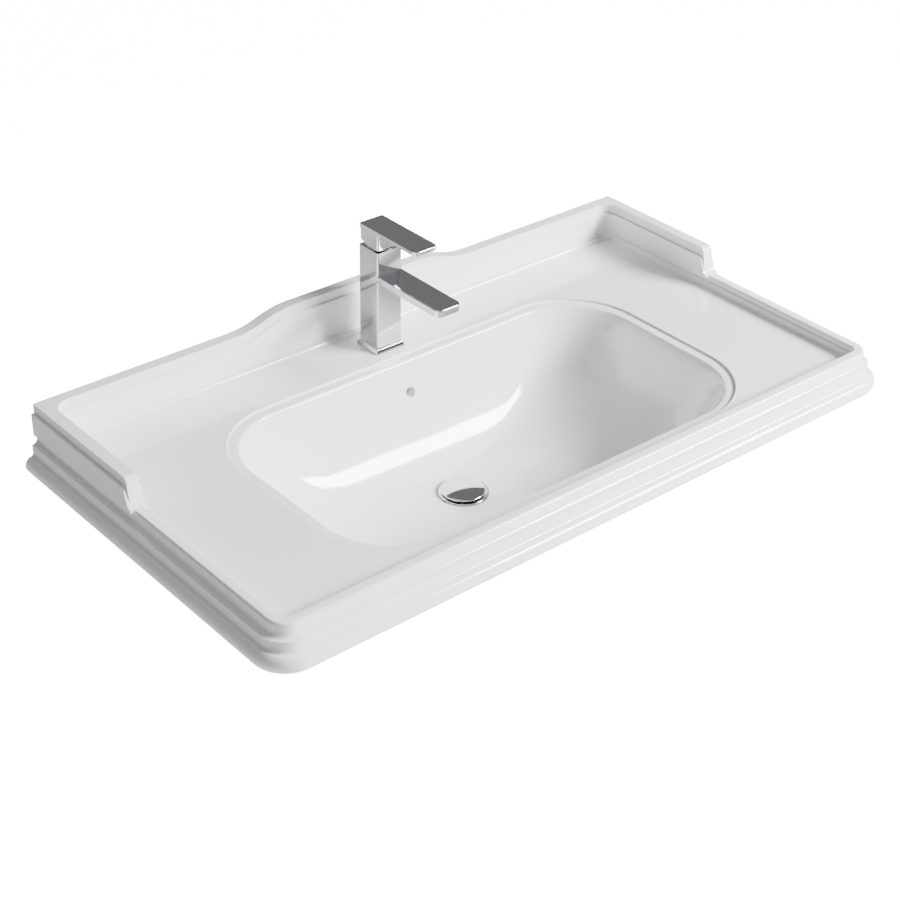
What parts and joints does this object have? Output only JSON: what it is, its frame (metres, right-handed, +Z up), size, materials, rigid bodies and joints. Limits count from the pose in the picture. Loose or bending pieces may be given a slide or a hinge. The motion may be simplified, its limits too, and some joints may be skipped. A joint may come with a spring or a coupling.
{
  "type": "console washbasin with mixer tap and pop-up waste",
  "caption": "White console washbasin with moulded rim and raised back, square single-lever mixer tap and domed pop-up waste.",
  "frame": {"origin": "middle of the wall face, level with the underside of the rim", "axes": "+X along the wall, +Y towards the wall, +Z up; the front is at -Y"},
  "size_m": [1, 0.525, 0.406],
  "materials": {
    "china": "gloss",
    "chrome": "polished",
    "brass": "satin",
    "steel": "satin",
    "rubber": "matte",
    "white_plastic": "matte",
    "grey_plastic": "matte",
    "button_plastic": "gloss",
    "disc_ceramic": "matte"
  },
  "bodies": {
    "basin_and_fittings": {"basin": "china", "tap_base_gasket": "rubber", "tap_base_plate": "chrome", "tap_body": "chrome", "aerator_housing": "chrome", "aerator_insert": "grey_plastic", "aerator_washer": "rubber", "fixing_stud": "brass", "horseshoe_rubber": "rubber", "horseshoe_plate": "steel", "fixing_nut": "brass", "cartridge_seal": "rubber", "cartridge_base": "white_plastic", "fixed_disc": "disc_ceramic", "cartridge_housing": "white_plastic", "cartridge_nut": "brass", "trim_collar": "chrome", "waste_body": "chrome", "waste_top_gasket": "rubber", "waste_lower_gasket": "rubber", "waste_washer": "grey_plastic", "waste_nut": "brass", "plug_latch": "white_plastic", "plug_spring": "steel"},
    "turret": {"cartridge_rotor": "white_plastic", "pivot_pin": "steel"},
    "lever": {"lever_spindle": "steel", "lever_handle": "chrome", "grub_screw": "steel", "index_button": "button_plastic"},
    "disc_slider": {"moving_disc": "disc_ceramic", "disc_carrier": "white_plastic"},
    "plug": {"plug_stem": "brass", "plug_cap": "chrome", "plug_seal": "rubber"}
  },
  "joints": [
    {"name": "lever_swivel", "type": "hinge", "parent": "basin_and_fittings", "child": "turret", "pos_m": [0, -0.066, 0.18], "axis": [0, 0, 1], "range_deg": [-45, 45]},
    {"name": "lever_tilt", "type": "hinge", "parent": "turret", "child": "lever", "pos_m": [0, -0.066, 0.18], "axis": [-1, 0, 0], "range_deg": [0, 18]},
    {"name": "disc_slide", "type": "slide", "parent": "turret", "child": "disc_slider", "axis": [0, -1, 0], "range_m": [0, 0.00557]},
    {"name": "plug_slide", "type": "slide", "parent": "basin_and_fittings", "child": "plug", "axis": [0, 0, 1], "range_m": [0, 0.007], "deforming": ["plug_spring"]}
  ],
  "couplings": [
    {"joint": "disc_slide", "follows": "lever_tilt", "m_per_rad": 0.0177}
  ]
}
